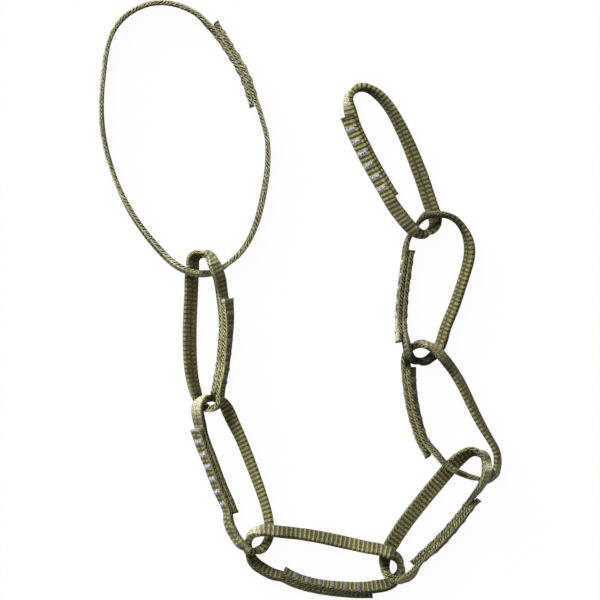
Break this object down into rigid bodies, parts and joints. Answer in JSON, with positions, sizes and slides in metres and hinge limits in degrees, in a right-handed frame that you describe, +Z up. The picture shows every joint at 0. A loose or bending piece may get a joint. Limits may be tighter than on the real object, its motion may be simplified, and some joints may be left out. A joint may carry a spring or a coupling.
{
  "type": "climbing daisy chain",
  "caption": "Chain of sewn flat-webbing loops linked through one another, with a long harness loop at one end, laid out in a curl.",
  "frame": {"origin": "centre of the laid-out chain's outline, at the ground", "axes": "+Z up from the ground, +Y towards the far end of the harness loop, +X towards the side where the last clip loop lies"},
  "size_m": [0.3224, 0.4786, 0.0268],
  "materials": {
    "olive_webbing": "woven nylon webbing with cross ribs, matt",
    "bar_tack_thread": "dense zigzag sewing thread, slight sheen"
  },
  "bodies": {
    "harness_loop": {"harness_loop_webbing": "olive_webbing", "harness_loop_tack_1": "bar_tack_thread", "harness_loop_tack_2": "bar_tack_thread", "harness_loop_tack_3": "bar_tack_thread", "harness_loop_tack_4": "bar_tack_thread", "harness_loop_tack_5": "bar_tack_thread", "harness_loop_tack_6": "bar_tack_thread"},
    "clip_loop_1": {"clip_loop_1_webbing": "olive_webbing", "clip_loop_1_tack_1": "bar_tack_thread", "clip_loop_1_tack_2": "bar_tack_thread", "clip_loop_1_tack_3": "bar_tack_thread", "clip_loop_1_tack_4": "bar_tack_thread", "clip_loop_1_tack_5": "bar_tack_thread", "clip_loop_1_tack_6": "bar_tack_thread"},
    "clip_loop_2": {"clip_loop_2_webbing": "olive_webbing", "clip_loop_2_tack_1": "bar_tack_thread", "clip_loop_2_tack_2": "bar_tack_thread", "clip_loop_2_tack_3": "bar_tack_thread", "clip_loop_2_tack_4": "bar_tack_thread", "clip_loop_2_tack_5": "bar_tack_thread", "clip_loop_2_tack_6": "bar_tack_thread"},
    "clip_loop_3": {"clip_loop_3_webbing": "olive_webbing", "clip_loop_3_tack_1": "bar_tack_thread", "clip_loop_3_tack_2": "bar_tack_thread", "clip_loop_3_tack_3": "bar_tack_thread", "clip_loop_3_tack_4": "bar_tack_thread", "clip_loop_3_tack_5": "bar_tack_thread", "clip_loop_3_tack_6": "bar_tack_thread"},
    "clip_loop_4": {"clip_loop_4_webbing": "olive_webbing", "clip_loop_4_tack_1": "bar_tack_thread", "clip_loop_4_tack_2": "bar_tack_thread", "clip_loop_4_tack_3": "bar_tack_thread", "clip_loop_4_tack_4": "bar_tack_thread", "clip_loop_4_tack_5": "bar_tack_thread", "clip_loop_4_tack_6": "bar_tack_thread"},
    "clip_loop_5": {"clip_loop_5_webbing": "olive_webbing", "clip_loop_5_tack_1": "bar_tack_thread", "clip_loop_5_tack_2": "bar_tack_thread", "clip_loop_5_tack_3": "bar_tack_thread", "clip_loop_5_tack_4": "bar_tack_thread", "clip_loop_5_tack_5": "bar_tack_thread", "clip_loop_5_tack_6": "bar_tack_thread"},
    "clip_loop_6": {"clip_loop_6_webbing": "olive_webbing", "clip_loop_6_tack_1": "bar_tack_thread", "clip_loop_6_tack_2": "bar_tack_thread", "clip_loop_6_tack_3": "bar_tack_thread", "clip_loop_6_tack_4": "bar_tack_thread", "clip_loop_6_tack_5": "bar_tack_thread", "clip_loop_6_tack_6": "bar_tack_thread"},
    "clip_loop_7": {"clip_loop_7_webbing": "olive_webbing", "clip_loop_7_tack_1": "bar_tack_thread", "clip_loop_7_tack_2": "bar_tack_thread", "clip_loop_7_tack_3": "bar_tack_thread", "clip_loop_7_tack_4": "bar_tack_thread", "clip_loop_7_tack_5": "bar_tack_thread", "clip_loop_7_tack_6": "bar_tack_thread"}
  },
  "joints": [
    {"name": "link_1_swing", "type": "hinge", "parent": "harness_loop", "child": "clip_loop_1", "pos_m": [-0.07636, 0.02667, 0], "axis": [0, 0, 1], "range_deg": [-24, 16]},
    {"name": "link_2_swing", "type": "hinge", "parent": "clip_loop_1", "child": "clip_loop_2", "pos_m": [-0.07156, -0.08373, 0], "axis": [0, 0, -1], "range_deg": [-6, 20]},
    {"name": "link_3_swing", "type": "hinge", "parent": "clip_loop_2", "child": "clip_loop_3", "pos_m": [-0.03476, -0.19413, 0], "axis": [0, 0, 1], "range_deg": [-30, 4]},
    {"name": "link_4_swing", "type": "hinge", "parent": "clip_loop_3", "child": "clip_loop_4", "pos_m": [0.07324, -0.21413, 0], "axis": [0, 0, -1], "range_deg": [-5, 9]},
    {"name": "link_5_swing", "type": "hinge", "parent": "clip_loop_4", "child": "clip_loop_5", "pos_m": [0.13884, -0.13413, 0], "axis": [0, 0, 1], "range_deg": [-17, 8]},
    {"name": "link_6_swing", "type": "hinge", "parent": "clip_loop_5", "child": "clip_loop_6", "pos_m": [0.09484, -0.04253, 0], "axis": [0, 0, -1], "range_deg": [-14, 20]},
    {"name": "link_7_swing", "type": "hinge", "parent": "clip_loop_6", "child": "clip_loop_7", "pos_m": [0.09964, 0.05987, 0], "axis": [0, 0, 1], "range_deg": [-9, 4]}
  ]
}
